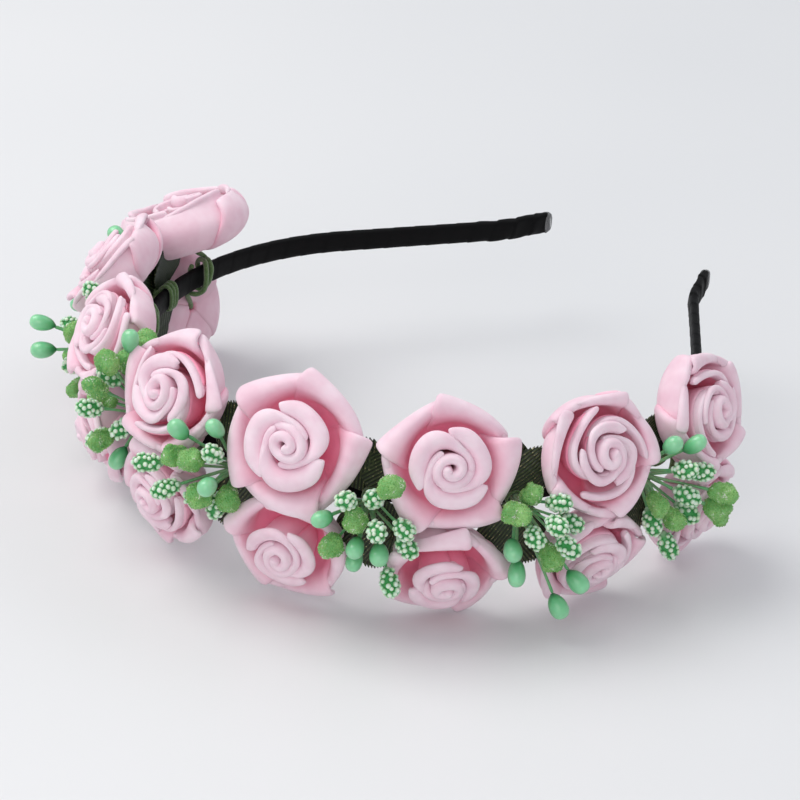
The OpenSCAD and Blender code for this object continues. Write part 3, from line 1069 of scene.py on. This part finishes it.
def make_sprig(k):
    """The pips, stems and leaves in the gap after pair k.

    The pips start from their CAD places, and every second one is drawn in toward the stems' spread.
    """
    angle = GARLAND_TURN + (k - 1 - (PAIRS - 2) / 2) * PITCH_ANGLE
    place, axes = station(angle)
    spread = place + axes @ np.array([0, TIE_OUT, 0])
    rng = random.Random(40 + k)
    buds = pips_in(f"pearl_buds_{k}", spread, 3.6, 1.6)
    berries = pips_in(f"sugar_berries_{k}", spread, 4.0, 2.4)
    cones = pips_in(f"dotted_cones_{k}", spread, 4.6, 2.8)
    make_buds(k, buds, rng)
    make_berries(k, berries, rng)
    make_cones(k, cones, rng)
    feet = [(m - w * 2.7, w) for m, w in buds]
    feet += [(m - w * 2.3, w) for m, w in berries]
    feet += [(m - w * 3.2, w) for m, w in cones]
    make_stems(k, place, axes, feet, rng)
    make_leaves(k, place, axes, rng)


# ---------------------------------------------------------------- scene


def make_stage(floor_z):
    """A plain pale table top, in metres."""
    mesh = bpy.data.meshes.new("table_top")
    half = 3.0
    corners = [(x * half, y * half, floor_z) for x, y in ((-1, -1), (1, -1), (1, 1), (-1, 1))]
    mesh.from_pydata(corners, [], [[0, 1, 2, 3]])
    table = bpy.data.objects.new("table_top", mesh)
    bpy.context.scene.collection.objects.link(table)
    mesh.materials.append(make_table())
    table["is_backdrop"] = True


LIGHT_SIZE = 0.8


def area_light(name, place, target, watts, colour):
    """A soft square light that faces a target; places are in metres."""
    data = bpy.data.lights.new(name, "AREA")
    data.size, data.energy, data.color = LIGHT_SIZE, watts, colour
    light = bpy.data.objects.new(name, data)
    light.location = place
    way = Vector(target) - Vector(place)
    light.rotation_euler = way.to_track_quat("-Z", "Y").to_euler()
    bpy.context.scene.collection.objects.link(light)


def make_lights():
    """Pale surroundings and three soft lights."""
    world = bpy.data.worlds.new("studio")
    bpy.context.scene.world = world
    world.use_nodes = True
    world.node_tree.nodes["Background"].inputs["Color"].default_value = srgb((236, 240, 246))
    world.node_tree.nodes["Background"].inputs["Strength"].default_value = 0.53
    bpy.context.scene.view_settings.view_transform = "Standard"
    area_light("key", (-0.55, -0.25, 0.95), (0, -0.02, 0), 8.2, (1.0, 0.99, 0.97))
    area_light("fill", (0.5, -0.9, 0.5), (0, -0.04, 0), 3.4, (1.0, 0.97, 0.96))
    area_light("back", (0.3, 0.8, 0.8), (0, 0, 0), 2.4, (0.97, 0.98, 1.0))


def make_camera():
    """The camera, turned and rolled as the photograph's was."""
    turn, fall, roll = math.radians(-37.01), math.radians(27.51), math.radians(3.69)
    ahead = np.array([math.sin(turn) * math.cos(fall), math.cos(turn) * math.cos(fall), -math.sin(fall)])
    level = np.array([math.cos(turn), -math.sin(turn), 0])
    upright = np.cross(level, ahead)
    right = level * math.cos(roll) + upright * math.sin(roll)
    up = upright * math.cos(roll) - level * math.sin(roll)
    place = (-4.29 * right - 10.03 * up - 650 * ahead) * MM
    data = bpy.data.cameras.new("camera")
    data.lens, data.sensor_width = 129.3, 36.0
    data.clip_start, data.clip_end = 0.05, 20.0
    camera = bpy.data.objects.new("camera", data)
    rotation = Matrix(np.array([right, up, -ahead]).T.tolist()).to_4x4()
    camera.matrix_world = Matrix.Translation(Vector(place)) @ rotation
    bpy.context.scene.collection.objects.link(camera)
    bpy.context.scene.camera = camera


make_camera()
make_ribbon(-1, "ribbon_centre", "ribbon_left_arm")
make_ribbon(1, "ribbon_centre", "ribbon_right_arm")
make_seal(-1, LEFT, "tip_seal_left")
make_seal(1, RIGHT, "tip_seal_right")
for strip in ("strip_centre", "strip_left_arm", "strip_right_arm"):
    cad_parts[strip].data.materials.clear()
    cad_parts[strip].data.materials.append(steel)
for i in range(PAIRS):
    make_rose(UPPER, i, "upper")
    make_rose(LOWER, i, "lower")
make_rose_wires()
make_sprig_wires()
for k in range(1, PAIRS):
    make_sprig(k)
make_lights()
bpy.context.view_layer.update()
make_stage(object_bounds()[0][2])
